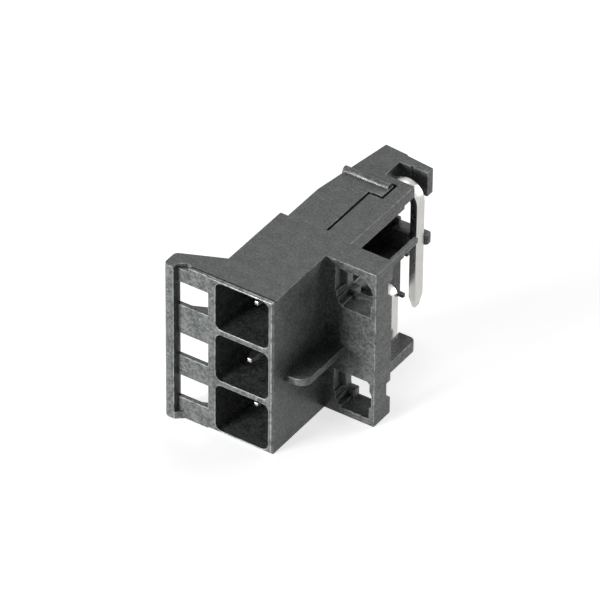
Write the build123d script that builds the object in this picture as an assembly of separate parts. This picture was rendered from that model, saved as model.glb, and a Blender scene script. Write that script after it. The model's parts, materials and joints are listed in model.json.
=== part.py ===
from build123d import *
import math
import os

# Right-angle pin header of a narrow electronics housing, three poles in one column.
# Millimetres. X runs to the right along the mating face, Y runs back from it, Z is up.
# The part is drawn from the front left bottom corner of the chamber block and moved at the
# end, so that the origin is the bottom centre of its bounding box.

# Pole column
POLES = 3
PITCH = 5.0
CHAMBER_WIDTH = 4.96
CHAMBER_DEPTH = 8.4
CHAMBER_WEB = 0.5
CHAMBER_CORNER = 0.6
LEFT_WALL = 0.72
RIGHT_WALL = 0.42
BACK_WALL = 1.7
EDGE_BREAK = 0.15
SCORE_SETBACK = 0.27
SCORE_WIDTH = 0.1
SCORE_DEPTH = 0.12

# Latch flap on the left of the block
FLAP_WIDTH = 3.85
FLAP_THICKNESS = 0.45
LIP_WIDTH = 1.01
LIP_FORWARD = 0.55
LIP_BACK = 0.45
LIP_ROUND = 0.5
LIP_FOOT = 0.7
NICK_WIDTH = 1.0
NICK_REACH = 0.55
NICK_DEPTH = 0.35
GUSSET_START = 1.15
GUSSET_DEPTH = 2.86
GUSSET_THICKNESS = 0.5
WINDOW_HEIGHT = 2.2
WINDOW_DROP = 0.24
LAST_WINDOW_RISE = 0.6

# Mounting flange on the right of the block
FLANGE_SETBACK = 7.4
FLANGE_WIDTH = 4.65
FLANGE_THICKNESS = 2.35
POCKET_RIM = 0.5
POCKET_WEB = 0.88
POCKET_HEIGHT = 3.6
POCKET_BASE = 0.65
POCKET_BULGE = 0.2
POCKET_CORNER = 0.75
KEY_STEP = 0.16
KEY_TREAD = 0.72
KEY_RISE = 0.25
KEY_LEDGE = 0.75
KEY_GAP = 0.65
KEY_STOP = 0.48
KEY_STOP_SETBACK = 1.0
KEY_BLOCK = 0.88
KEY_BLOCK_SETBACK = 1.5
GROOVE_DEPTH = 0.55
GROOVE_HEIGHT = 1.65
GROOVE_BASE = 1.57

# Fin on the right side of the block
FIN_WIDTH = 1.9
FIN_THICKNESS = 0.65
FIN_SETBACK = 1.68
FIN_DROP = 0.52
FIN_ROUND = 1.05

# Top plate behind the block, its snap arm and the rear block
PLATE_INSET = 0.7
PLATE_OVERHANG = 0.75
PLATE_THICKNESS = 1.38
PLATE_STRAIGHT = 4.2
PLATE_TAPER = 1.2
PLATE_RELIEF = 0.28
RELIEF_LENGTH = 1.4
ARM_WIDTH = 3.5
ARM_LENGTH = 7.9
ARM_TO_STRIP = 0.9
ARM_HOOK_WIDTH = 1.25
ARM_HOOK_LENGTH = 1.9
SLIT = 0.22
RIDGE_RADIUS = 0.36
RIDGE_OVERHANG = 0.18
REAR_BLOCK_HEIGHT = 2.35
REAR_GAP = 0.9
REAR_WALL = 0.8
REAR_STEP = 0.3
REAR_SETBACK = 0.1
NOTCH_GROOVE = 0.15

# Wall, shelf and tail guides under the plate
WALL_INSET = 1.15
WALL_THICKNESS = 0.8
WALL_RIB = 0.3
WALL_RIB_HEIGHT = 0.35
WALL_RIB_DROP = 0.15
SHELF_THICKNESS = 0.8
SHELF_DROP = 0.6
SHELF_LAP = 0.2
RUN_GAP = 0.2
GUIDE_DEPTH = 0.8
GUIDE_LIFT = 1.1
GUIDE_HEIGHT = 0.93
GUIDE_REACH = 0.25
GUIDE_WEB = 0.4
GUIDE_ROUND = 0.3
MIDDLE_GUIDE_DEPTH = 0.4
MIDDLE_GUIDE_HEIGHT = 0.32
MIDDLE_GUIDE_LIFT = 0.12
MIDDLE_GUIDE_REACH = 0.45

# Board, the arm on it and the ledge under its edge, and the top bar behind the flange
BOARD_TOP = 3.95
BOARD_THICKNESS = 1.0
BOARD_PLAY = 0.15
LEDGE_INSET = 0.6
LEDGE_LENGTH = 2.4
LEDGE_PLATE = 1.3
LEDGE_RIB = 0.8
ARM_SHELF_THICKNESS = 1.05
ARM_SHELF_LENGTH = 3.68
ARM_SHELF_ROUND = 0.55
BAR_WIDTH = 0.38
BAR_HEIGHT = 0.5
BAR_LENGTH = 3.6

# Stamped contacts
STOCK = 0.65
STRIP_WIDTH = 1.14
PIN_WIDTH = 0.75
PIN_TIP = 0.36
PIN_TAPER = 0.9
PIN_SETBACK = 2.0
FIRST_MATE_LEAD = 0.95
SHOULDER = 0.3
TOP_RISE = 1.79
MIDDLE_RISE = 1.375
BOTTOM_RISE = 1.83
ARCH_RISE = 0.45
ARCH_ANGLE = 23.5
RISE_RUN = 0.95
RISE_LAP = 0.25
BEND_INSIDE = 0.98
TIGHT_BEND_INSIDE = 0.3
TAIL_STANDOUT = 0.25
MIDDLE_STANDOUT = 1.75
MIDDLE_TAIL_BACK = 2.4
BOTTOM_TAIL_BACK = 1.5
TAIL_STUB = 0.2
TAIL_TAPER = 1.1
BOTTOM_TAIL_TAPER = 0.6
TAIL_TIP = 0.48
TAIL_GAP = 0.28

# Sizes that follow from the ones above
HEIGHT = POLES * PITCH
POCKET_SPACING = (POLES - 1) * PITCH
BLOCK_WIDTH = LEFT_WALL + CHAMBER_WIDTH + RIGHT_WALL
BLOCK_DEPTH = CHAMBER_DEPTH + BACK_WALL
PLATE_LENGTH = ARM_LENGTH + ARM_TO_STRIP
CHAMBER_X = LEFT_WALL + CHAMBER_WIDTH / 2
CHAMBER_HEIGHT = PITCH - CHAMBER_WEB
FLANGE_BACK = FLANGE_SETBACK + FLANGE_THICKNESS
RIGHT_SIDE = BLOCK_WIDTH + FLANGE_WIDTH
PLATE_RIGHT = BLOCK_WIDTH + PLATE_OVERHANG
PLATE_BOTTOM = HEIGHT - PLATE_THICKNESS
PLATE_END = BLOCK_DEPTH + PLATE_LENGTH
ARM_RIGHT = PLATE_INSET + ARM_WIDTH
ARM_END = BLOCK_DEPTH + ARM_LENGTH
NOTCH_LEFT = ARM_RIGHT - SLIT / 2
STRIP_BACK = PLATE_END + STRIP_WIDTH
NOTCH_BACK = STRIP_BACK + REAR_GAP
REAR_FACE = NOTCH_BACK + REAR_WALL
REAR_END = REAR_FACE + 2 * REAR_STEP
REAR_BOTTOM = HEIGHT - REAR_BLOCK_HEIGHT
TAIL_FACE = PLATE_RIGHT + TAIL_STANDOUT
MIDDLE_FACE = TAIL_FACE + MIDDLE_STANDOUT
MIDDLE_TAIL_Y = BLOCK_DEPTH + MIDDLE_TAIL_BACK
BOTTOM_TAIL_Y = BLOCK_DEPTH + BOTTOM_TAIL_BACK
TOP_POLE_Z = (POLES - 0.5) * PITCH
MIDDLE_POLE_Z = (POLES - 1.5) * PITCH
BOTTOM_POLE_Z = 0.5 * PITCH
TOP_STRIP_Z = TOP_POLE_Z + TOP_RISE - ARCH_RISE
MIDDLE_STRIP_Z = MIDDLE_POLE_Z + MIDDLE_RISE - ARCH_RISE
BOTTOM_STRIP_Z = BOTTOM_POLE_Z + BOTTOM_RISE
WALL_RIGHT = PLATE_RIGHT - WALL_INSET
WALL_LEFT = WALL_RIGHT - WALL_THICKNESS
SHELF_LEFT = CHAMBER_X + STRIP_WIDTH / 2 + RUN_GAP
SHELF_TOP = MIDDLE_STRIP_Z - STOCK / 2 - SHELF_DROP
TAIL_TIP_Z = BOARD_TOP - BOARD_THICKNESS - TAIL_STUB
LEDGE_TOP = BOARD_TOP - BOARD_THICKNESS - BOARD_PLAY


# Shapes drawn from their corners
def block(x0, x1, y0, y1, z0, z1):
    """A box between two opposite corners."""
    body = Box(x1 - x0, y1 - y0, z1 - z0)
    return Pos((x0 + x1) / 2, (y0 + y1) / 2, (z0 + z1) / 2) * body


def upright(points, z0, z1):
    """A prism standing on a plan outline of (x, y) points."""
    corners = [(x, y, z0) for x, y in points]
    face = make_face(Polyline(*corners, close=True))
    return extrude(face, amount=z1 - z0, dir=(0, 0, 1))


def backward(points, y0, y1):
    """A prism running back from a front outline of (x, z) points."""
    corners = [(x, y0, z) for x, z in points]
    face = make_face(Polyline(*corners, close=True))
    return extrude(face, amount=y1 - y0, dir=(0, 1, 0))


def sideways(points, x0, x1):
    """A prism running right from a side outline of (y, z) points."""
    corners = [(x0, y, z) for y, z in points]
    face = make_face(Polyline(*corners, close=True))
    return extrude(face, amount=x1 - x0, dir=(1, 0, 0))


def rounded(body, axis, x, y, radius):
    """The body with the upright or lengthwise edge nearest (x, y) rounded."""
    edges = body.edges().filter_by(axis)
    nearest = edges.sort_by(lambda edge: math.hypot(edge.center().X - x, edge.center().Y - y))[0]
    return fillet(nearest, radius)


# Chamber block
def chamber(middle_z):
    """One plug chamber, open at the mating face."""
    half_width = CHAMBER_WIDTH / 2
    half_height = CHAMBER_HEIGHT / 2
    room = block(
        CHAMBER_X - half_width, CHAMBER_X + half_width, 0, CHAMBER_DEPTH, middle_z - half_height, middle_z + half_height
    )
    return fillet(room.edges().filter_by(Axis.Y), CHAMBER_CORNER)


def contact_slot(middle_z):
    """The slot in the chamber's back wall that grips a contact."""
    half = STRIP_WIDTH / 2
    return block(
        CHAMBER_X - half, CHAMBER_X + half, CHAMBER_DEPTH, BLOCK_DEPTH, middle_z - STOCK / 2, middle_z + STOCK / 2
    )


def chamber_block():
    """The block with its chambers, its front edges lightly broken."""
    body = block(0, BLOCK_WIDTH, 0, BLOCK_DEPTH, 0, HEIGHT)
    front = body.faces().sort_by(Axis.Y)[0]
    edges = front.edges().filter_by(Axis.X) + front.edges().filter_by(Axis.Z).sort_by(Axis.X)[-1:]
    body = chamfer(edges, EDGE_BREAK)
    for pole in range(POLES):
        middle_z = (pole + 0.5) * PITCH
        body -= chamber(middle_z)
        body -= contact_slot(middle_z)
    return body


# Latch flap
def window_middles():
    """The heights of the flap's windows: the lowest is set higher than the pitch."""
    middles = [BOTTOM_POLE_Z + LAST_WINDOW_RISE]
    for pole in range(1, POLES):
        middles.append((pole + 0.5) * PITCH - WINDOW_DROP)
    return middles


def gusset(z0, z1):
    """A wedge web between the lip and the block's side."""
    points = [(-FLAP_WIDTH, 0), (-FLAP_WIDTH, GUSSET_START), (0, GUSSET_DEPTH), (0, 0)]
    web = upright(points, z0, z1)
    return rounded(web, Axis.Z, -FLAP_WIDTH, GUSSET_START, LIP_ROUND)


def score():
    """The fine score along the top of the block and the flap, just behind their front edge."""
    left = LIP_WIDTH - FLAP_WIDTH + NICK_WIDTH - SCORE_WIDTH
    back = SCORE_SETBACK + SCORE_WIDTH
    return block(left, BLOCK_WIDTH + 1, SCORE_SETBACK, back, HEIGHT - SCORE_DEPTH, HEIGHT + 1)


def latch_flap():
    """The windowed plate, its lip and its gussets."""
    inner = LIP_WIDTH - FLAP_WIDTH
    plate = block(inner, 0, 0, FLAP_THICKNESS, 0, HEIGHT)
    for middle_z in window_middles():
        plate -= block(inner, 0, -1, FLAP_THICKNESS + 1, middle_z - WINDOW_HEIGHT / 2, middle_z + WINDOW_HEIGHT / 2)
    lip = block(-FLAP_WIDTH, inner, -LIP_FORWARD, LIP_BACK, 0, HEIGHT)
    lip = rounded(lip, Axis.Z, -FLAP_WIDTH, -LIP_FORWARD, LIP_ROUND)
    lip = rounded(lip, Axis.Z, -FLAP_WIDTH, LIP_BACK, LIP_ROUND / 2)
    body = plate + lip
    body += gusset(HEIGHT - GUSSET_THICKNESS, HEIGHT)
    body += gusset((POLES - 1) * PITCH - GUSSET_THICKNESS, (POLES - 1) * PITCH)
    body += gusset(0, GUSSET_THICKNESS)
    foot = [(inner, -LIP_FORWARD), (inner + LIP_FOOT, 0), (inner, 0)]
    body += upright(foot, 0, LIP_FOOT)
    score_back = SCORE_SETBACK + SCORE_WIDTH
    nick = [
        (inner, -1), (inner, 0), (inner + NICK_REACH, NICK_REACH), (inner + NICK_WIDTH, score_back),
        (inner + NICK_WIDTH, -1)
    ]
    body -= upright(nick, HEIGHT - NICK_DEPTH, HEIGHT + 1)
    return body


# Mounting flange
def pocket_outline(base, corner):
    """The stepped front outline of a flange pocket; its top right corner is cut off."""
    left = BLOCK_WIDTH + POCKET_WEB
    right = RIGHT_SIDE - POCKET_RIM
    top = base + POCKET_HEIGHT
    upper_ledge = base + KEY_LEDGE + KEY_GAP
    return [
        (left, top),
        (right - corner, top),
        (right, top - corner),
        (right, base + 0.75 * POCKET_HEIGHT),
        (right + POCKET_BULGE, base + 0.66 * POCKET_HEIGHT),
        (right + POCKET_BULGE, base + 0.34 * POCKET_HEIGHT),
        (right, base + 0.3 * POCKET_HEIGHT),
        (right, base),
        (left + KEY_TREAD, base),
        (left + KEY_TREAD, base + KEY_RISE),
        (left + 2 * KEY_STEP, base + KEY_RISE),
        (left + 2 * KEY_STEP, base + KEY_LEDGE),
        (left + KEY_STEP, base + KEY_LEDGE),
        (left + KEY_STEP, upper_ledge),
        (left, upper_ledge),
    ]


def flange_pocket(base, corner):
    """A pocket through the flange, less the stop and the block that key it on the left."""
    left = BLOCK_WIDTH + POCKET_WEB
    back = FLANGE_BACK + 1
    pocket = backward(pocket_outline(base, corner), FLANGE_SETBACK - 1, back)
    stop_front = FLANGE_SETBACK + KEY_STOP_SETBACK
    stop_base = base + KEY_LEDGE + KEY_GAP
    pocket -= block(left - 1, left + KEY_STOP, stop_front, back, stop_base, base + POCKET_HEIGHT + 1)
    block_front = FLANGE_SETBACK + KEY_BLOCK_SETBACK
    pocket -= block(left - 1, left + KEY_BLOCK, block_front, back, base - 1, base + KEY_LEDGE)
    return pocket


def board_groove(base):
    """The groove across the flange's back for a board edge, its lower lip chamfered."""
    points = [
        (FLANGE_BACK + 1, base),
        (FLANGE_BACK, base),
        (FLANGE_BACK - GROOVE_DEPTH, base + GROOVE_DEPTH),
        (FLANGE_BACK - GROOVE_DEPTH, base + GROOVE_HEIGHT),
        (FLANGE_BACK + 1, base + GROOVE_HEIGHT),
    ]
    return sideways(points, BLOCK_WIDTH, RIGHT_SIDE + 1)


def flange():
    """The flange with its two pockets and two board grooves."""
    body = block(BLOCK_WIDTH, RIGHT_SIDE, FLANGE_SETBACK, FLANGE_BACK, 0, HEIGHT)
    body -= flange_pocket(POCKET_BASE, POCKET_BULGE)
    body -= flange_pocket(POCKET_BASE + POCKET_SPACING, POCKET_CORNER)
    for base in (GROOVE_BASE, GROOVE_BASE + POCKET_SPACING):
        body -= board_groove(base)
    return body


def fin():
    """The thin fin beside the block, running back to the flange."""
    top = HEIGHT / 2 - FIN_DROP
    body = block(BLOCK_WIDTH, BLOCK_WIDTH + FIN_WIDTH, FIN_SETBACK, FLANGE_SETBACK, top - FIN_THICKNESS, top)
    return rounded(body, Axis.Z, BLOCK_WIDTH + FIN_WIDTH, FIN_SETBACK, FIN_ROUND)


# Top plate, snap arm and rear block
def plate_left(y):
    """The left side of the plate, which tapers towards the rear."""
    start = BLOCK_DEPTH + PLATE_STRAIGHT
    return PLATE_INSET + PLATE_TAPER * max(0, y - start) / (REAR_END - start)


def plate_outline():
    """The plan of the plate and the rear block together."""
    return [
        (PLATE_INSET, BLOCK_DEPTH),
        (PLATE_INSET, BLOCK_DEPTH + PLATE_STRAIGHT),
        (PLATE_INSET + PLATE_TAPER, REAR_END),
        (NOTCH_LEFT, REAR_END - 0.75 * REAR_STEP),
        (NOTCH_LEFT, REAR_END - REAR_STEP),
        (PLATE_RIGHT - REAR_SETBACK, REAR_FACE),
        (PLATE_RIGHT - REAR_SETBACK, STRIP_BACK),
        (PLATE_RIGHT, STRIP_BACK),
        (PLATE_RIGHT, FLANGE_BACK),
        (BLOCK_WIDTH, FLANGE_BACK),
        (BLOCK_WIDTH, BLOCK_DEPTH),
    ]


def arm_slit():
    """The slit that frees the snap arm, with the jog beside its hooked end."""
    z0 = REAR_BOTTOM - 1
    z1 = HEIGHT + 1
    jog = ARM_END - ARM_HOOK_LENGTH
    hook_right = ARM_RIGHT + ARM_HOOK_WIDTH
    cut = block(ARM_RIGHT, ARM_RIGHT + SLIT, BLOCK_DEPTH + SLIT / 2, jog + SLIT, z0, z1)
    cut += block(ARM_RIGHT, hook_right + SLIT, jog, jog + SLIT, z0, z1)
    cut += block(hook_right, hook_right + SLIT, jog, ARM_END + SLIT, z0, z1)
    cut += block(-1, hook_right + SLIT, ARM_END, ARM_END + SLIT, z0, z1)
    return cut


def ridge():
    """The round snap bead across the end of the arm."""
    y = ARM_END - RIDGE_RADIUS
    left = plate_left(y) - RIDGE_OVERHANG
    right = ARM_RIGHT + ARM_HOOK_WIDTH - SLIT / 2
    bead = Cylinder(RIDGE_RADIUS, right - left)
    return Pos((left + right) / 2, y, HEIGHT) * (Rot(0, 90, 0) * bead)


def top_plate():
    """Plate, snap arm and rear block, with the notch for the top contact."""
    slim = upright(plate_outline(), PLATE_BOTTOM, HEIGHT)
    deep = upright(plate_outline(), REAR_BOTTOM, PLATE_BOTTOM)
    deep -= block(-1, RIGHT_SIDE, 0, ARM_END + SLIT, REAR_BOTTOM - 1, PLATE_BOTTOM + 1)
    deep -= block(NOTCH_LEFT, RIGHT_SIDE, 0, NOTCH_BACK, REAR_BOTTOM - 1, PLATE_BOTTOM + 1)
    body = slim + deep
    strip_bottom = TOP_STRIP_Z - STOCK / 2
    strip_top = TOP_STRIP_Z + STOCK / 2
    bend_start = TAIL_FACE - BEND_INSIDE - STOCK
    lead, angle = arched_lead(TOP_STRIP_Z, TAIL_FACE, BEND_INSIDE)
    arch_start = lead[1][0] - STOCK / 2 * math.tan(angle / 2)
    opening_left = min(NOTCH_LEFT, arch_start)
    body -= block(opening_left, RIGHT_SIDE, PLATE_END, STRIP_BACK, strip_bottom, HEIGHT + 1)
    body -= block(bend_start, RIGHT_SIDE, PLATE_END, STRIP_BACK, REAR_BOTTOM - 1, HEIGHT + 1)
    body -= block(NOTCH_LEFT, RIGHT_SIDE, STRIP_BACK, NOTCH_BACK, REAR_BOTTOM - 1, HEIGHT + 1)
    half = STRIP_WIDTH / 2
    body -= block(CHAMBER_X - half, CHAMBER_X + half, ARM_END + SLIT, STRIP_BACK, REAR_BOTTOM - 1, strip_top)
    body -= block(CHAMBER_X, NOTCH_LEFT + 1, PLATE_END, STRIP_BACK, strip_bottom, strip_top)
    groove = (NOTCH_LEFT + PLATE_RIGHT) / 2 - 2 * NOTCH_GROOVE
    body -= block(groove, groove + 2 * NOTCH_GROOVE, NOTCH_BACK - 0.1, NOTCH_BACK + NOTCH_GROOVE, REAR_BOTTOM, HEIGHT)
    body -= block(WALL_RIGHT, RIGHT_SIDE, PLATE_END - RELIEF_LENGTH, PLATE_END, 0, PLATE_BOTTOM + PLATE_RELIEF)
    body -= arm_slit()
    body += ridge()
    return body


# Wall, shelf and tail guides
def tail_guide(right, front, back, bottom, top):
    """A bar behind a contact tail, from the wall to a rounded end."""
    bar = block(WALL_LEFT, right, front, back, bottom, top)
    bar = rounded(bar, Axis.Z, right, back, min(GUIDE_ROUND, 0.45 * (back - front)))
    return rounded(bar, Axis.Z, right, front, min(GUIDE_ROUND, 0.45 * (back - front)))


def rear_frame():
    """What carries the plate and steadies the contact tails."""
    wall_front = CHAMBER_DEPTH + BACK_WALL / 2
    body = block(WALL_LEFT, WALL_RIGHT, wall_front, PLATE_END, BOARD_TOP, PLATE_BOTTOM)
    rib_top = MIDDLE_STRIP_Z - STOCK / 2 - WALL_RIB_DROP
    body += block(
        WALL_LEFT, WALL_RIGHT + WALL_RIB, BLOCK_DEPTH, PLATE_END, rib_top - WALL_RIB_HEIGHT, rib_top
    )
    shelf_bottom = SHELF_TOP - SHELF_THICKNESS
    guide_back = STRIP_BACK + GUIDE_DEPTH
    guide_bottom = SHELF_TOP + GUIDE_LIFT
    guide_top = guide_bottom + GUIDE_HEIGHT
    body += block(SHELF_LEFT, WALL_LEFT + SHELF_LAP, BLOCK_DEPTH, guide_back, shelf_bottom, SHELF_TOP)
    body += block(SHELF_LEFT, WALL_LEFT + SHELF_LAP, STRIP_BACK, guide_back, SHELF_TOP, guide_top)
    body += tail_guide(TAIL_FACE + GUIDE_REACH, STRIP_BACK, guide_back, guide_bottom, guide_top)
    body += block(SHELF_LEFT, TAIL_FACE - STOCK, guide_back - GUIDE_WEB, guide_back, SHELF_TOP, guide_top)
    middle_back = MIDDLE_TAIL_Y + STRIP_WIDTH
    middle_top = MIDDLE_STRIP_Z + MIDDLE_GUIDE_LIFT
    body += tail_guide(
        MIDDLE_FACE + MIDDLE_GUIDE_REACH, middle_back, middle_back + MIDDLE_GUIDE_DEPTH,
        middle_top - MIDDLE_GUIDE_HEIGHT, middle_top
    )
    body -= block(
        WALL_LEFT, WALL_RIGHT, MIDDLE_TAIL_Y, middle_back, MIDDLE_STRIP_Z - STOCK / 2, MIDDLE_STRIP_Z + STOCK / 2
    )
    body -= block(
        WALL_LEFT, WALL_RIGHT, BOTTOM_TAIL_Y, BOTTOM_TAIL_Y + STRIP_WIDTH, 0, BOTTOM_STRIP_Z + STOCK / 2
    )
    return body


def board_arm():
    """The arm that rests on the board, notched around the middle tail."""
    left = TAIL_FACE + TAIL_GAP
    back = FLANGE_BACK + ARM_SHELF_LENGTH
    body = block(left, RIGHT_SIDE, FLANGE_BACK, back, BOARD_TOP, BOARD_TOP + ARM_SHELF_THICKNESS)
    body = rounded(body, Axis.Z, RIGHT_SIDE, back, ARM_SHELF_ROUND)
    body -= block(
        MIDDLE_FACE - STOCK - TAIL_GAP, MIDDLE_FACE + TAIL_GAP, MIDDLE_TAIL_Y - TAIL_GAP, back + 1, 0, HEIGHT
    )
    return body


def board_ledge():
    """The ribbed ledge under the board's edge, with a channel for the bottom contact."""
    left = LEDGE_INSET
    right = BLOCK_WIDTH - LEDGE_INSET
    back = BLOCK_DEPTH + LEDGE_LENGTH
    body = block(left, right, BLOCK_DEPTH, back, LEDGE_TOP - LEDGE_PLATE, LEDGE_TOP)
    body += block(left, left + LEDGE_RIB, BLOCK_DEPTH, back, 0, LEDGE_TOP)
    body += block(right - LEDGE_RIB, right, BLOCK_DEPTH, back, 0, LEDGE_TOP)
    half = STRIP_WIDTH / 2 + RUN_GAP
    channel_bottom = BOTTOM_POLE_Z - STOCK / 2 - RUN_GAP
    body -= block(CHAMBER_X - half, CHAMBER_X + half, BLOCK_DEPTH, back + 1, channel_bottom, HEIGHT)
    return body


def top_bar():
    """The thin bar that runs back along the flange's top right edge."""
    return block(
        RIGHT_SIDE - BAR_WIDTH, RIGHT_SIDE, FLANGE_BACK, FLANGE_BACK + BAR_LENGTH, HEIGHT - BAR_HEIGHT, HEIGHT
    )


def build_housing():
    """The one moulding of the header."""
    body = chamber_block()
    body += latch_flap()
    body += flange()
    body += fin()
    body += top_plate()
    body += rear_frame()
    body += board_arm()
    body += board_ledge()
    body += top_bar()
    body -= score()
    return body


# Contacts
def strip_sides(points, thickness):
    """The two sides of a strip of even thickness along a bent line."""
    half = thickness / 2
    angles = []
    for start, end in zip(points, points[1:]):
        angles.append(math.atan2(end[1] - start[1], end[0] - start[0]))
    upper = []
    lower = []
    for index, (a, b) in enumerate(points):
        before = angles[max(index - 1, 0)]
        after = angles[min(index, len(angles) - 1)]
        middle = (before + after) / 2
        reach = half / math.cos((after - before) / 2)
        upper.append((a - reach * math.sin(middle), b + reach * math.cos(middle)))
        lower.append((a + reach * math.sin(middle), b - reach * math.cos(middle)))
    return upper, lower


def pin(middle_z, tip_y):
    """The contact pin in its chamber, with a tapered tip."""
    half = PIN_WIDTH / 2
    back = CHAMBER_DEPTH - SHOULDER
    shaft = block(
        CHAMBER_X - half, CHAMBER_X + half, tip_y + PIN_TAPER, back, middle_z - STOCK / 2, middle_z + STOCK / 2
    )
    facing = Plane(origin=(CHAMBER_X, tip_y, middle_z), x_dir=(1, 0, 0), z_dir=(0, 1, 0))
    end = facing * Rectangle(PIN_TIP, PIN_TIP)
    root = facing.offset(PIN_TAPER) * Rectangle(PIN_WIDTH, STOCK)
    return shaft + loft([end, root])


def run(middle_z, strip_z, tail_y):
    """The strip from the chamber's back wall up to the tail."""
    top = tail_y + RISE_LAP
    points = [
        (CHAMBER_DEPTH - SHOULDER, middle_z),
        (top - RISE_RUN, middle_z),
        (top, strip_z),
        (tail_y + STRIP_WIDTH, strip_z),
    ]
    half = STRIP_WIDTH / 2
    upper, lower = strip_sides(points, STOCK)
    return sideways(upper + lower[::-1], CHAMBER_X - half, CHAMBER_X + half)


def flat_lead(strip_z, face_x, bend_inside):
    """A level line from the chamber column to the bend, and the bend's angle there."""
    centre_x = face_x - bend_inside - STOCK
    return [(CHAMBER_X, strip_z), (centre_x, strip_z)], 0


def arched_lead(strip_z, face_x, bend_inside):
    """A line that rises to the bend, so that the strip arches, and the bend's angle there."""
    angle = math.radians(ARCH_ANGLE)
    radius = bend_inside + STOCK / 2
    centre_x = face_x - bend_inside - STOCK
    bend_x = centre_x - radius * math.sin(angle)
    bend_z = strip_z + ARCH_RISE - radius * (1 - math.cos(angle))
    rise_x = bend_x - (bend_z - strip_z) / math.tan(angle)
    return [(CHAMBER_X, strip_z), (rise_x, strip_z), (bend_x, bend_z)], angle


def tail(lead, angle, tail_y, face_x, bend_inside, taper):
    """The strip that leaves to the right, bends down and ends in a solder tip."""
    upper, lower = strip_sides(lead, STOCK)
    radius = bend_inside + STOCK / 2
    centre_x = lead[-1][0] + radius * math.sin(angle)
    centre_z = lead[-1][1] - radius * math.cos(angle)
    half_way = (math.pi / 2 + angle) / 2
    outside = bend_inside + STOCK
    taper_top = TAIL_TIP_Z + taper
    outer = ThreePointArc(
        (upper[-1][0], tail_y, upper[-1][1]),
        (centre_x + outside * math.cos(half_way), tail_y, centre_z + outside * math.sin(half_way)),
        (face_x, tail_y, centre_z),
    )
    inner = ThreePointArc(
        (face_x - STOCK, tail_y, centre_z),
        (centre_x + bend_inside * math.cos(half_way), tail_y, centre_z + bend_inside * math.sin(half_way)),
        (lower[-1][0], tail_y, lower[-1][1]),
    )
    leg = Polyline(
        (face_x, tail_y, centre_z), (face_x, tail_y, taper_top), (face_x - STOCK, tail_y, taper_top),
        (face_x - STOCK, tail_y, centre_z)
    )
    start = Polyline(*[(x, tail_y, z) for x, z in lower[::-1] + upper])
    side = make_face(start.edges() + outer.edges() + leg.edges() + inner.edges())
    body = extrude(side, amount=STRIP_WIDTH, dir=(0, 1, 0))
    middle = (face_x - STOCK / 2, tail_y + STRIP_WIDTH / 2)
    root = Plane(origin=(*middle, taper_top)) * Rectangle(STOCK, STRIP_WIDTH)
    tip = Plane(origin=(*middle, TAIL_TIP_Z)) * Rectangle(TAIL_TIP * STOCK, TAIL_TIP * STRIP_WIDTH)
    return body + loft([root, tip])


def build_contact_top():
    """The top contact, arched, with the wide bend."""
    lead, angle = arched_lead(TOP_STRIP_Z, TAIL_FACE, BEND_INSIDE)
    body = pin(TOP_POLE_Z, PIN_SETBACK)
    body += run(TOP_POLE_Z, TOP_STRIP_Z, PLATE_END)
    body += tail(lead, angle, PLATE_END, TAIL_FACE, BEND_INSIDE, TAIL_TAPER)
    return body


def build_contact_middle():
    """The middle contact, which mates first; arched, with a tight bend."""
    lead, angle = arched_lead(MIDDLE_STRIP_Z, MIDDLE_FACE, TIGHT_BEND_INSIDE)
    body = pin(MIDDLE_POLE_Z, PIN_SETBACK - FIRST_MATE_LEAD)
    body += run(MIDDLE_POLE_Z, MIDDLE_STRIP_Z, MIDDLE_TAIL_Y)
    body += tail(lead, angle, MIDDLE_TAIL_Y, MIDDLE_FACE, TIGHT_BEND_INSIDE, TAIL_TAPER)
    return body


def build_contact_bottom():
    """The bottom contact, level above the board, with a tight bend."""
    lead, angle = flat_lead(BOTTOM_STRIP_Z, TAIL_FACE, TIGHT_BEND_INSIDE)
    body = pin(BOTTOM_POLE_Z, PIN_SETBACK)
    body += run(BOTTOM_POLE_Z, BOTTOM_STRIP_Z, BOTTOM_TAIL_Y)
    body += tail(lead, angle, BOTTOM_TAIL_Y, TAIL_FACE, TIGHT_BEND_INSIDE, BOTTOM_TAIL_TAPER)
    return body


def build_parts():
    """Every node by name."""
    return {
        "housing": build_housing(),
        "contact_top": build_contact_top(),
        "contact_middle": build_contact_middle(),
        "contact_bottom": build_contact_bottom(),
    }


# Output, moved so that the origin is the bottom centre of the whole part
def main():
    os.makedirs("parts", exist_ok=True)
    middle_x = (RIGHT_SIDE - FLAP_WIDTH) / 2
    middle_y = (REAR_END - LIP_FORWARD) / 2
    for name, body in build_parts().items():
        moved = Pos(-middle_x, -middle_y, 0) * body
        solid = moved.solids()[0] if len(moved.solids()) == 1 else moved
        export_step(solid, "parts/" + name + ".step")


main()
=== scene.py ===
import json
import math

import bmesh
import bpy
from bpy.props import FloatProperty, FloatVectorProperty, PointerProperty
from mathutils import Matrix, Vector

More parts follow.
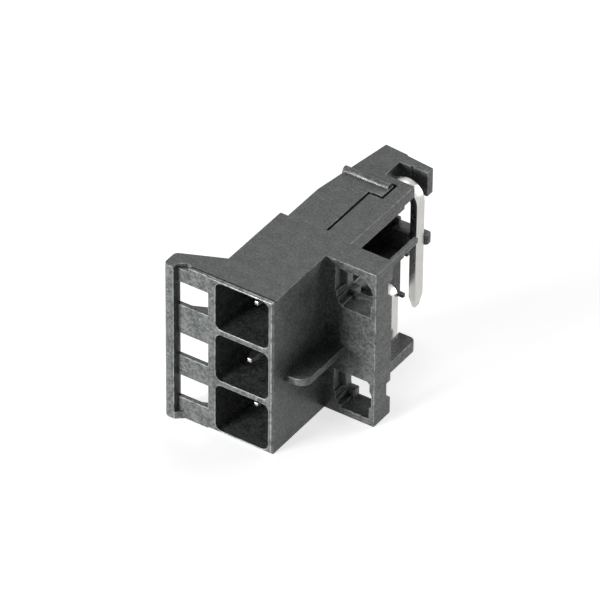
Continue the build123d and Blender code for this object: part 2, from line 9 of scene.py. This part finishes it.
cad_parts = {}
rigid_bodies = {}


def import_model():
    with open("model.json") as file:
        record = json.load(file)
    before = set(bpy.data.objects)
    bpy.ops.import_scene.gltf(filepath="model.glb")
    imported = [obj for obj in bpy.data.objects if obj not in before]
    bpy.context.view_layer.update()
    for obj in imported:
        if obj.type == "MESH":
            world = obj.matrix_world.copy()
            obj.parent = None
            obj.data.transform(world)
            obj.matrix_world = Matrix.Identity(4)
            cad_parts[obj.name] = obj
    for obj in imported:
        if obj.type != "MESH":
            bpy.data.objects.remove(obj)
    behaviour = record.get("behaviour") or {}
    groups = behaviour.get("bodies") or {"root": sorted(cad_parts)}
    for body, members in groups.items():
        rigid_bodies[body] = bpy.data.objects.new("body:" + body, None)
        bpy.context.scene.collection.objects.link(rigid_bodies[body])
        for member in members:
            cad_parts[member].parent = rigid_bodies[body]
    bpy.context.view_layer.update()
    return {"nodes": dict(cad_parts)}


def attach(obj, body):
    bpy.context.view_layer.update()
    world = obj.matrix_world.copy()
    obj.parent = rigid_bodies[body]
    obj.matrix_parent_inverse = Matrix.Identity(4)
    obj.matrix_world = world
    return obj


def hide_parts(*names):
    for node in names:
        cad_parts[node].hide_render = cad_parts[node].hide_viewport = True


bl_info = {
    "name": "Right-angle pin header",
    "version": (1, 0, 0),
    "blender": (4, 5, 0),
    "location": "View3D > Sidebar > Pin header",
    "description": "Dresses the header's moulding and contacts and sets its studio",
    "category": "Object",
}

MM = 0.001
for leftover in list(bpy.data.objects):
    bpy.data.objects.remove(leftover)
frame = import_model()


def span(low, high):
    """A span in millimetres, as metres."""
    return low * MM, high * MM


# Skin of the plastic: widths in grains, spreads of the noise and what they become
CLOUD_GRAINS = 5
CELL_GRAINS = 1.9
PATCH_GRAINS = 2.5
MOTTLE_SPREAD = (0.37, 0.63)
CLOUD_SPREAD = (0.34, 0.66)
CLOUD_SHADE = (-0.28, 0.28)
SPECK_SPREAD = (0.10, 0.26)
SPECK_CHOICE = (0.80, 0.95)
# Painted highlight on the outer edges, in patches, and the lower roughness that goes with it
HIGHLIGHT_SPREAD = (0.38, 0.6)
HIGHLIGHT_SHARE = (0.15, 1.0)
GLOSS_SPREAD = (0.3, 0.7)
GLOSS_SWING = 0.07
EDGE_POLISH = 0.1
CLOUD_RELIEF = 3.0

# Plating of the contacts
HAZE_WIDTH = 0.9 * MM
HAZE_SPREAD = (0.35, 0.65)
HAZE_SHADE = 0.9
HAZE_GLOSS = (-0.06, 0.08)
TIN_GRAIN_WIDTH = 0.09 * MM
TIN_GRAIN_DEPTH = 0.002 * MM

# Angles at the edges of the meshes, in radians
COPLANAR_ANGLE = math.radians(0.6)
BENT_ANGLE = 0.02
STEEP_ANGLE = math.radians(35)
SHARP_ANGLE = math.radians(40)
CROWDED_ANGLE = math.radians(25)
ONWARD_ANGLE = math.radians(155)

# Softening; the room on a face and the shortest edge count in widths of the softened edge
MERGE_DISTANCE = 0.001 * MM
BEVEL_SEGMENTS = 2
FACE_ROOM = 2.2
SHORTEST_EDGE = 2

# Boxes of the hollow, where its settings don't give them
OPENING_X = span(1.15, 2.75)
OPENING_Y = span(0.1, 3.6)
REAR_OPENING_Y = span(3.5, 8.2)
TRAY_X = span(-1.75, 0.75)
CURB_X = span(-1.75, -1.25)
TRAY_Y = span(-1.0, 9.7)
TRAY_THICKNESS = 0.6 * MM
LINING_LAP = 0.1 * MM
WEB = (span(-1.7, 0.55), span(9.2, 9.65))
WEB_TOP = 12.8 * MM
WEB_BLOCK = (span(0.45, 1.2), span(9.25, 9.6), span(7.4, 10.15))
GUIDE_BLOCK = (span(0.95, 2.45), span(8.6, 9.3), span(7.2, 9.55))

# Studio, in the part's frame
FLOOR_HALF_WIDTH = 1.5
FLOOR_DROP = 0.02 * MM
FLOOR_ROUGHNESS = 0.9
LAMP_CENTRE = Vector((0, 0, 8 * MM))
LAMP_DIRECTIONS = {
    "key": Vector((-0.38, -0.90, 0.04)),
    "side": Vector((0.50, 0.80, 0.25)),
    "top": Vector((-0.20, 0.45, 0.87)),
}
CAMERA_TARGET = Vector((-1.284, -1.186, 7.5)) * MM
SENSOR_WIDTH = 36


# Settings

class PlasticSettings(bpy.types.PropertyGroup):
    """The glass-filled plastic of the moulding."""

    dark: FloatVectorProperty(
        name="Dark", description="Colour of the filled resin", subtype="COLOR",
        size=3, min=0, max=1, default=(0.024, 0.028, 0.027),
    )
    light: FloatVectorProperty(
        name="Light", description="Colour of the paler mottling", subtype="COLOR",
        size=3, min=0, max=1, default=(0.114, 0.120, 0.117),
    )
    fibre: FloatVectorProperty(
        name="Fibre", description="Colour of the glass specks in the skin", subtype="COLOR",
        size=3, min=0, max=1, default=(0.24, 0.25, 0.25),
    )
    # A painted highlight: the outer edges are lightened towards this colour
    painted_sheen: FloatVectorProperty(
        name="Sheen", description="Colour of the rubbed outer edges", subtype="COLOR",
        size=3, min=0, max=1, default=(0.26, 0.27, 0.27),
    )
    grain: FloatProperty(
        name="Grain", description="Width of one mottle", subtype="DISTANCE", unit="LENGTH",
        default=0.2 * MM,
    )
    grain_depth: FloatProperty(
        name="Grain depth", description="Depth of the moulded texture", subtype="DISTANCE",
        unit="LENGTH", default=0.016 * MM,
    )
    roughness: FloatProperty(
        name="Roughness", description="Roughness of the skin", default=0.38, min=0, max=1,
    )
    edge: FloatProperty(
        name="Edge", description="Softening of the moulded edges", subtype="DISTANCE",
        unit="LENGTH", default=0.06 * MM,
    )


class HollowSettings(bpy.types.PropertyGroup):
    """The hollow under the plate, which the solid closes with a wall; its lining is a guess."""

    sill: FloatProperty(
        name="Sill", description="Height of the opening's sill by the middle contact",
        subtype="DISTANCE", unit="LENGTH", default=9.3 * MM,
    )
    rear_sill: FloatProperty(
        name="Rear sill", description="Height of the opening's sill behind the middle contact",
        subtype="DISTANCE", unit="LENGTH", default=8.05 * MM,
    )
    lintel: FloatProperty(
        name="Lintel", description="Height of the opening's upper edge",
        subtype="DISTANCE", unit="LENGTH", default=13.66 * MM,
    )
    tray: FloatProperty(
        name="Tray", description="Height of the tray under the contacts",
        subtype="DISTANCE", unit="LENGTH", default=6.9 * MM,
    )
    curb: FloatProperty(
        name="Curb", description="Height of the tray's left curb",
        subtype="DISTANCE", unit="LENGTH", default=12.95 * MM,
    )


class TinSettings(bpy.types.PropertyGroup):
    """The tin plate of the contacts."""

    tin: FloatVectorProperty(
        name="Tin", description="Colour of the plating", subtype="COLOR",
        size=3, min=0, max=1, default=(0.61, 0.60, 0.58),
    )
    roughness: FloatProperty(
        name="Roughness", description="Roughness of the plating", default=0.28, min=0, max=1,
    )
    edge: FloatProperty(
        name="Edge", description="Softening of the stamped edges", subtype="DISTANCE",
        unit="LENGTH", default=0.05 * MM,
    )


class StudioSettings(bpy.types.PropertyGroup):
    """Floor, lamps and camera."""

    floor: FloatVectorProperty(
        name="Floor", description="Colour of the floor", subtype="COLOR",
        size=3, min=0, max=1, default=(0.72, 0.72, 0.72),
    )
    glow: FloatProperty(
        name="Glow", description="How much the floor whitens for the camera", default=0.7,
        min=0, max=1,
    )
    key: FloatProperty(
        name="Key", description="Power of the lamp at the front left", unit="POWER", default=3.8,
    )
    side: FloatProperty(
        name="Side", description="Power of the lamp at the back right", unit="POWER",
        default=0.55,
    )
    top: FloatProperty(
        name="Top", description="Power of the lamp above the back", unit="POWER", default=0.275,
    )
    lamp_distance: FloatProperty(
        name="Lamp distance", description="Distance of the lamps", subtype="DISTANCE",
        unit="LENGTH", default=350 * MM,
    )
    lamp_size: FloatProperty(
        name="Lamp size", description="Width of the soft lamps", subtype="DISTANCE",
        unit="LENGTH", default=180 * MM,
    )
    sky: FloatProperty(
        name="Sky", description="Strength of the soft light from all sides", default=0.03,
    )
    azimuth: FloatProperty(
        name="Azimuth", description="Camera's turn to the right", subtype="ANGLE",
        unit="ROTATION", default=math.radians(33.421),
    )
    elevation: FloatProperty(
        name="Elevation", description="Camera's height angle", subtype="ANGLE",
        unit="ROTATION", default=math.radians(37.454),
    )
    roll: FloatProperty(
        name="Roll", description="Camera's roll", subtype="ANGLE", unit="ROTATION",
        default=math.radians(0.540),
    )
    distance: FloatProperty(
        name="Distance", description="Camera's distance", subtype="DISTANCE", unit="LENGTH",
        default=500 * MM,
    )
    lens: FloatProperty(name="Lens", description="Focal length", default=380.53, unit="CAMERA")


# Node helpers

def new_material(name):
    """An empty node material and its output."""
    material = bpy.data.materials.new(name)
    material.use_nodes = True
    nodes = material.node_tree.nodes
    nodes.clear()
    output = nodes.new("ShaderNodeOutputMaterial")
    return material, nodes, material.node_tree.links, output


def noise(nodes, links, vector, size, detail, roughness=0.5):
    """Noise whose features are about size metres wide."""
    node = nodes.new("ShaderNodeTexNoise")
    node.inputs["Scale"].default_value = 1 / size
    node.inputs["Detail"].default_value = detail
    node.inputs["Roughness"].default_value = roughness
    links.new(vector, node.inputs["Vector"])
    return node.outputs["Fac"]


def ramp(nodes, links, value, low, high, to_low=0.0, to_high=1.0):
    """The value stretched from low..high to to_low..to_high, clamped."""
    node = nodes.new("ShaderNodeMapRange")
    node.inputs["From Min"].default_value = low
    node.inputs["From Max"].default_value = high
    node.inputs["To Min"].default_value = to_low
    node.inputs["To Max"].default_value = to_high
    links.new(value, node.inputs["Value"])
    return node.outputs["Result"]


def colour_socket(sockets, name):
    """The colour socket of that name."""
    return [socket for socket in sockets if socket.name == name and socket.type == "RGBA"][0]


def mix_colours(nodes, links, factor, first, second):
    """Two colours mixed by a factor; each is a colour or a socket."""
    node = nodes.new("ShaderNodeMix")
    node.data_type = "RGBA"
    links.new(factor, node.inputs["Factor"])
    for name, colour in (("A", first), ("B", second)):
        socket = colour_socket(node.inputs, name)
        if isinstance(colour, bpy.types.NodeSocket):
            links.new(colour, socket)
        else:
            socket.default_value = (*colour, 1)
    return colour_socket(node.outputs, "Result")


def maths(nodes, links, operation, first, second):
    """One operation on two values; each is a number or a socket."""
    node = nodes.new("ShaderNodeMath")
    node.operation = operation
    for index, value in enumerate((first, second)):
        if isinstance(value, bpy.types.NodeSocket):
            links.new(value, node.inputs[index])
        else:
            node.inputs[index].default_value = value
    return node.outputs["Value"]


def shown_rays(nodes, links):
    """One for the rays that show a background: the camera's, and those of mirrors and glass."""
    rays = nodes.new("ShaderNodeLightPath").outputs
    shown = maths(nodes, links, "MAXIMUM", rays["Is Camera Ray"], rays["Is Glossy Ray"])
    return maths(nodes, links, "MAXIMUM", shown, rays["Is Transmission Ray"])


# Materials

def filled_plastic(settings):
    """Dark grey plastic, mottled, with pale specks, a painted highlight on its outer edges and a
    fine moulded texture.
    """
    material, nodes, links, output = new_material("filled_plastic")
    place = nodes.new("ShaderNodeTexCoord").outputs["Object"]
    mottle = noise(nodes, links, place, settings.grain, detail=3.0, roughness=0.62)
    cloud_width = settings.grain * CLOUD_GRAINS
    cloud = noise(nodes, links, place, cloud_width, detail=3.0, roughness=0.6)
    fine = ramp(nodes, links, mottle, *MOTTLE_SPREAD)
    broad = ramp(nodes, links, cloud, *CLOUD_SPREAD, *CLOUD_SHADE)
    body = maths(nodes, links, "ADD", fine, broad)
    colour = mix_colours(nodes, links, body, settings.dark, settings.light)
    cells = nodes.new("ShaderNodeTexVoronoi")
    cells.feature = "F1"
    cells.inputs["Scale"].default_value = 1 / (settings.grain * CELL_GRAINS)
    links.new(place, cells.inputs["Vector"])
    speck = ramp(nodes, links, cells.outputs["Distance"], *SPECK_SPREAD, to_low=1.0, to_high=0.0)
    pick = nodes.new("ShaderNodeSeparateColor")
    links.new(cells.outputs["Color"], pick.inputs["Color"])
    chosen = ramp(nodes, links, pick.outputs["Red"], *SPECK_CHOICE)
    specks = maths(nodes, links, "MULTIPLY", speck, chosen)
    colour = mix_colours(nodes, links, specks, colour, settings.fibre)
    # Painted highlight: the outer edges, in noise patches, are mixed towards the sheen colour
    outer = nodes.new("ShaderNodeAttribute")
    outer.attribute_name = "outer_edge"
    highlight_patches = noise(nodes, links, place, settings.grain * PATCH_GRAINS, detail=2.0)
    highlight_share = ramp(nodes, links, highlight_patches, *HIGHLIGHT_SPREAD, *HIGHLIGHT_SHARE)
    highlit = maths(nodes, links, "MULTIPLY", outer.outputs["Fac"], highlight_share)
    colour = mix_colours(nodes, links, highlit, colour, settings.painted_sheen)
    shader = nodes.new("ShaderNodeBsdfPrincipled")
    shader.inputs["Specular IOR Level"].default_value = 0.5
    links.new(colour, shader.inputs["Base Color"])
    dull, bright = settings.roughness + GLOSS_SWING, settings.roughness - GLOSS_SWING
    rough = ramp(nodes, links, mottle, *GLOSS_SPREAD, dull, bright)
    # Where the painted highlight lies, the edges are also made a little less rough
    polish = maths(nodes, links, "MULTIPLY", highlit, EDGE_POLISH)
    rough = maths(nodes, links, "SUBTRACT", rough, polish)
    links.new(rough, shader.inputs["Roughness"])
    bump = nodes.new("ShaderNodeBump")
    bump.inputs["Strength"].default_value = 1.0
    bump.inputs["Distance"].default_value = settings.grain_depth
    uneven = maths(nodes, links, "MULTIPLY", cloud, CLOUD_RELIEF)
    links.new(maths(nodes, links, "ADD", mottle, uneven), bump.inputs["Height"])
    links.new(bump.outputs["Normal"], shader.inputs["Normal"])
    links.new(shader.outputs["BSDF"], output.inputs["Surface"])
    return material


def tin_plate(settings):
    """Bright tin, a little hazed, with a very fine grain."""
    material, nodes, links, output = new_material("tin_plate")
    place = nodes.new("ShaderNodeTexCoord").outputs["Object"]
    haze = noise(nodes, links, place, HAZE_WIDTH, detail=3.0, roughness=0.6)
    fine = noise(nodes, links, place, TIN_GRAIN_WIDTH, detail=2.0, roughness=0.6)
    hazed = tuple(HAZE_SHADE * channel for channel in settings.tin)
    clear = ramp(nodes, links, haze, *HAZE_SPREAD)
    colour = mix_colours(nodes, links, clear, hazed, tuple(settings.tin))
    shader = nodes.new("ShaderNodeBsdfPrincipled")
    shader.inputs["Metallic"].default_value = 1.0
    links.new(colour, shader.inputs["Base Color"])
    bright, dull = (settings.roughness + change for change in HAZE_GLOSS)
    rough = ramp(nodes, links, haze, *GLOSS_SPREAD, bright, dull)
    links.new(rough, shader.inputs["Roughness"])
    bump = nodes.new("ShaderNodeBump")
    bump.inputs["Distance"].default_value = TIN_GRAIN_DEPTH
    links.new(fine, bump.inputs["Height"])
    links.new(bump.outputs["Normal"], shader.inputs["Normal"])
    links.new(shader.outputs["BSDF"], output.inputs["Surface"])
    return material


def pale_floor(settings):
    """A matt floor, whitened for the rays that show a background."""
    material, nodes, links, output = new_material("pale_floor")
    shader = nodes.new("ShaderNodeBsdfPrincipled")
    shader.inputs["Base Color"].default_value = (*settings.floor, 1)
    shader.inputs["Roughness"].default_value = FLOOR_ROUGHNESS
    shader.inputs["Specular IOR Level"].default_value = 0.0
    glow = nodes.new("ShaderNodeEmission")
    shown = maths(nodes, links, "MULTIPLY", shown_rays(nodes, links), settings.glow)
    links.new(shown, glow.inputs["Strength"])
    both = nodes.new("ShaderNodeAddShader")
    links.new(shader.outputs["BSDF"], both.inputs[0])
    links.new(glow.outputs["Emission"], both.inputs[1])
    links.new(both.outputs["Shader"], output.inputs["Surface"])
    return material


def pale_surroundings(settings):
    """A world that is white where a background shows, and lights the part only softly."""
    world = bpy.data.worlds.new("studio")
    world.use_nodes = True
    nodes = world.node_tree.nodes
    links = world.node_tree.links
    nodes.clear()
    shown = shown_rays(nodes, links)
    strength = ramp(nodes, links, shown, 0.0, 1.0, to_low=settings.sky, to_high=1.0)
    background = nodes.new("ShaderNodeBackground")
    background.inputs["Color"].default_value = (1, 1, 1, 1)
    links.new(strength, background.inputs["Strength"])
    surface = nodes.new("ShaderNodeOutputWorld").inputs["Surface"]
    links.new(background.outputs["Background"], surface)
    return world


# Shapes

def angle_between(edge, other, corner):
    """The angle between two edges that meet at a corner."""
    first = edge.other_vert(corner).co - corner.co
    second = other.other_vert(corner).co - corner.co
    return first.angle(second)


def clear_end(edge, corner):
    """Whether an edge leaves a corner well apart from the other bent edges there."""
    for other in corner.link_edges:
        if other is edge or other.calc_face_angle(0.0) < BENT_ANGLE:
            continue
        if angle_between(edge, other, corner) < CROWDED_ANGLE:
            return False
    return True


def steep(edge):
    """Whether the two faces at an edge meet at a marked angle."""
    return edge.calc_face_angle(0.0) > STEEP_ANGLE


def flows_on(edge, corner):
    """Whether another steep edge carries an edge on past a corner in a smooth curve."""
    for other in corner.link_edges:
        if other is edge or not steep(other):
            continue
        if angle_between(edge, other, corner) > ONWARD_ANGLE:
            return True
    return False


def roomy(edge, width):
    """Whether both faces at an edge are at least as wide as given."""
    start = edge.verts[0].co
    along = (edge.verts[1].co - start).normalized()
    for face in edge.link_faces:
        offsets = [vertex.co - start for vertex in face.verts]
        if max((offset - offset.dot(along) * along).length for offset in offsets) < width:
            return False
    return True


def to_soften(edge, edge_width):
    """Whether an edge is steep, points outwards and has the room to be softened."""
    if not steep(edge) or not edge.is_convex or not roomy(edge, FACE_ROOM * edge_width):
        return False
    short = edge.calc_length() < SHORTEST_EDGE * edge_width
    if short and not any(flows_on(edge, corner) for corner in edge.verts):
        return False
    return all(clear_end(edge, corner) for corner in edge.verts)


def box_mesh(name, spans):
    """A box as a mesh, given by its spans in x, y and z."""
    sizes = [high - low for low, high in spans]
    middle = [(high + low) / 2 for low, high in spans]
    place = Matrix.Translation(middle) @ Matrix.Diagonal((*sizes, 1))
    shape = bmesh.new()
    bmesh.ops.create_cube(shape, size=1, matrix=place)
    mesh = bpy.data.meshes.new(name)
    shape.to_mesh(mesh)
    shape.free()
    return mesh


def hollowed(source, settings):
    """The moulding's mesh with the wall under the plate opened and the hollow behind it lined."""
    opening = [
        (OPENING_X, OPENING_Y, (settings.sill, settings.lintel)),
        (OPENING_X, REAR_OPENING_Y, (settings.rear_sill, settings.lintel)),
    ]
    floor = settings.tray - TRAY_THICKNESS
    lining = [
        (TRAY_X, TRAY_Y, (floor, settings.tray)),
        (CURB_X, TRAY_Y, (floor + LINING_LAP, settings.curb)),
        (*WEB, (floor + LINING_LAP, WEB_TOP)),
        WEB_BLOCK,
        GUIDE_BLOCK,
    ]
    mesh = source.copy()
    for operation, boxes in (("DIFFERENCE", opening), ("UNION", lining)):
        for spans in boxes:
            body = bpy.data.objects.new("hollow_body", mesh)
            tool = bpy.data.objects.new("hollow_tool", box_mesh("hollow_tool", spans))
            for item in (body, tool):
                bpy.context.scene.collection.objects.link(item)
            boolean = body.modifiers.new("hollow", "BOOLEAN")
            boolean.object = tool
            boolean.operation = operation
            boolean.solver = "EXACT"
            graph = bpy.context.evaluated_depsgraph_get()
            mesh = bpy.data.meshes.new_from_object(body.evaluated_get(graph))
            for item in (body, tool):
                used = item.data
                bpy.data.objects.remove(item)
                bpy.data.meshes.remove(used)
    return mesh


def weighted_mesh(node_name, name, edge_width, source):
    """A cleaned copy of a node's mesh, with a bevel weight on each edge to soften."""
    shell = bmesh.new()
    shell.from_mesh(source)
    bmesh.ops.remove_doubles(shell, verts=shell.verts, dist=MERGE_DISTANCE)
    bmesh.ops.dissolve_limit(
        shell, angle_limit=COPLANAR_ANGLE, verts=shell.verts, edges=shell.edges
    )
    if any(len(edge.link_faces) != 2 for edge in shell.edges):
        raise RuntimeError(node_name + " isn't a closed shell")
    weight = shell.edges.layers.float.new("bevel_weight_edge")
    for edge in shell.edges:
        if to_soften(edge, edge_width):
            edge[weight] = 1.0
    bmesh.ops.triangulate(
        shell, faces=shell.faces, quad_method="BEAUTY", ngon_method="BEAUTY"
    )
    mesh = bpy.data.meshes.new(name)
    shell.to_mesh(mesh)
    shell.free()
    return mesh


def mark_outer_edges(mesh, material):
    """Marks the bevel's faces, which have the second slot, and leaves the mesh one slot."""
    outer = mesh.attributes.new("outer_edge", "FLOAT", "FACE")
    bevelled = [float(polygon.material_index) for polygon in mesh.polygons]
    outer.data.foreach_set("value", bevelled)
    mesh.materials.clear()
    mesh.materials.append(material)
    mesh.polygons.foreach_set("material_index", [0] * len(mesh.polygons))


def shade(mesh):
    """Shades a mesh smooth except at its sharp edges, without the imported normals."""
    imported = mesh.attributes.get("custom_normal")
    if imported:
        mesh.attributes.remove(imported)
    mesh.shade_smooth()
    shell = bmesh.new()
    shell.from_mesh(mesh)
    for edge in shell.edges:
        edge.smooth = edge.calc_face_angle(0.0) < SHARP_ANGLE
    shell.to_mesh(mesh)
    shell.free()


def softened(node_name, name, edge_width, material, form=None):
    """A piece like a node, or its given form, with softened edges, standing for that node."""
    source = form or frame["nodes"][node_name].data
    mesh = weighted_mesh(node_name, name, edge_width, source)
    mesh.materials.append(material)
    mesh.materials.append(material)
    piece = bpy.data.objects.new(name, mesh)
    bpy.context.scene.collection.objects.link(piece)
    bevel = piece.modifiers.new("edges", "BEVEL")
    bevel.width = edge_width
    bevel.segments = BEVEL_SEGMENTS
    bevel.limit_method = "WEIGHT"
    bevel.use_clamp_overlap = False
    bevel.loop_slide = False
    bevel.material = 1
    graph = bpy.context.evaluated_depsgraph_get()
    finished = bpy.data.meshes.new_from_object(piece.evaluated_get(graph))
    piece.modifiers.clear()
    piece.data = finished
    bpy.data.meshes.remove(mesh)
    finished.name = name
    mark_outer_edges(finished, material)
    shade(finished)
    weighted = piece.modifiers.new("faces", "WEIGHTED_NORMAL")
    weighted.keep_sharp = True
    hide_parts(node_name)
    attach(piece, "root")
    return piece


# Operators

class HEADER_OT_housing(bpy.types.Operator):
    """Builds the moulding with softened edges and filled plastic"""

    bl_idname = "header.housing"
    bl_label = "Housing"

    def execute(self, context):
        settings = context.scene.header_plastic
        form = hollowed(frame["nodes"]["housing"].data, context.scene.header_hollow)
        plastic = filled_plastic(settings)
        piece = softened("housing", "housing_moulding", settings.edge, plastic, form)
        return {"FINISHED"}


class HEADER_OT_contacts(bpy.types.Operator):
    """Builds the three stamped contacts with tin plate"""

    bl_idname = "header.contacts"
    bl_label = "Contacts"

    def execute(self, context):
        settings = context.scene.header_tin
        tin = tin_plate(settings)
        for node in ("contact_top", "contact_middle", "contact_bottom"):
            piece = softened(node, node + "_strip", settings.edge, tin)
        return {"FINISHED"}


class HEADER_OT_studio(bpy.types.Operator):
    """Sets the floor, the soft lamps and the pale surroundings"""

    bl_idname = "header.studio"
    bl_label = "Studio"

    def execute(self, context):
        settings = context.scene.header_studio
        material = pale_floor(settings)
        mesh = bpy.data.meshes.new("floor")
        sheet = bmesh.new()
        bmesh.ops.create_grid(sheet, x_segments=1, y_segments=1, size=FLOOR_HALF_WIDTH)
        sheet.to_mesh(mesh)
        sheet.free()
        mesh.materials.append(material)
        floor = bpy.data.objects.new("floor", mesh)
        floor.location = (0, 0, -FLOOR_DROP)
        context.scene.collection.objects.link(floor)
        context.scene.world = pale_surroundings(settings)
        for name, direction in LAMP_DIRECTIONS.items():
            lamp = bpy.data.lights.new(name, "AREA")
            lamp.shape = "DISK"
            lamp.size = settings.lamp_size
            lamp.energy = getattr(settings, name)
            holder = bpy.data.objects.new(name, lamp)
            holder.location = LAMP_CENTRE + settings.lamp_distance * direction.normalized()
            holder.rotation_euler = (-direction).to_track_quat("-Z", "Y").to_euler()
            context.scene.collection.objects.link(holder)
        return {"FINISHED"}


class HEADER_OT_camera(bpy.types.Operator):
    """Places the long-lens camera at the photograph's angle"""

    bl_idname = "header.camera"
    bl_label = "Camera"

    def execute(self, context):
        settings = context.scene.header_studio
        azimuth, elevation, roll = settings.azimuth, settings.elevation, settings.roll
        back = Vector((
            math.sin(azimuth) * math.cos(elevation),
            -math.cos(azimuth) * math.cos(elevation),
            math.sin(elevation),
        ))
        right = Vector((math.cos(azimuth), math.sin(azimuth), 0))
        up = back.cross(right)
        side = math.cos(roll) * right + math.sin(roll) * up
        top = math.cos(roll) * up - math.sin(roll) * right
        camera = bpy.data.cameras.new("camera")
        camera.lens = settings.lens
        camera.sensor_width = SENSOR_WIDTH
        camera.dof.use_dof = False
        holder = bpy.data.objects.new("camera", camera)
        turn = Matrix((side, top, back)).transposed().to_4x4()
        place = Matrix.Translation(CAMERA_TARGET + settings.distance * back)
        holder.matrix_world = place @ turn
        context.scene.collection.objects.link(holder)
        context.scene.camera = holder
        context.scene.view_settings.view_transform = "Standard"
        return {"FINISHED"}


STEPS = (HEADER_OT_housing, HEADER_OT_contacts, HEADER_OT_studio, HEADER_OT_camera)


class HEADER_PT_sidebar(bpy.types.Panel):
    """Shows the header's settings and the buttons for its steps"""

    bl_idname = "HEADER_PT_sidebar"
    bl_label = "Pin header"
    bl_space_type = "VIEW_3D"
    bl_region_type = "UI"
    bl_category = "Pin header"

    def draw(self, context):
        for key in ("header_plastic", "header_hollow", "header_tin", "header_studio"):
            group = getattr(context.scene, key)
            box = self.layout.box()
            for name in group.__annotations__:
                box.prop(group, name)
        for step in STEPS:
            self.layout.operator(step.bl_idname)


SETTINGS = (PlasticSettings, HollowSettings, TinSettings, StudioSettings)
CLASSES = (*SETTINGS, *STEPS, HEADER_PT_sidebar)


def register():
    for item in CLASSES:
        bpy.utils.register_class(item)
    bpy.types.Scene.header_plastic = PointerProperty(type=PlasticSettings)
    bpy.types.Scene.header_hollow = PointerProperty(type=HollowSettings)
    bpy.types.Scene.header_tin = PointerProperty(type=TinSettings)
    bpy.types.Scene.header_studio = PointerProperty(type=StudioSettings)


def unregister():
    del bpy.types.Scene.header_studio
    del bpy.types.Scene.header_tin
    del bpy.types.Scene.header_hollow
    del bpy.types.Scene.header_plastic
    for item in reversed(CLASSES):
        bpy.utils.unregister_class(item)


def main():
    register()
    bpy.ops.header.housing()
    bpy.ops.header.contacts()
    bpy.ops.header.studio()
    bpy.ops.header.camera()


if __name__ == "__main__":
    main()
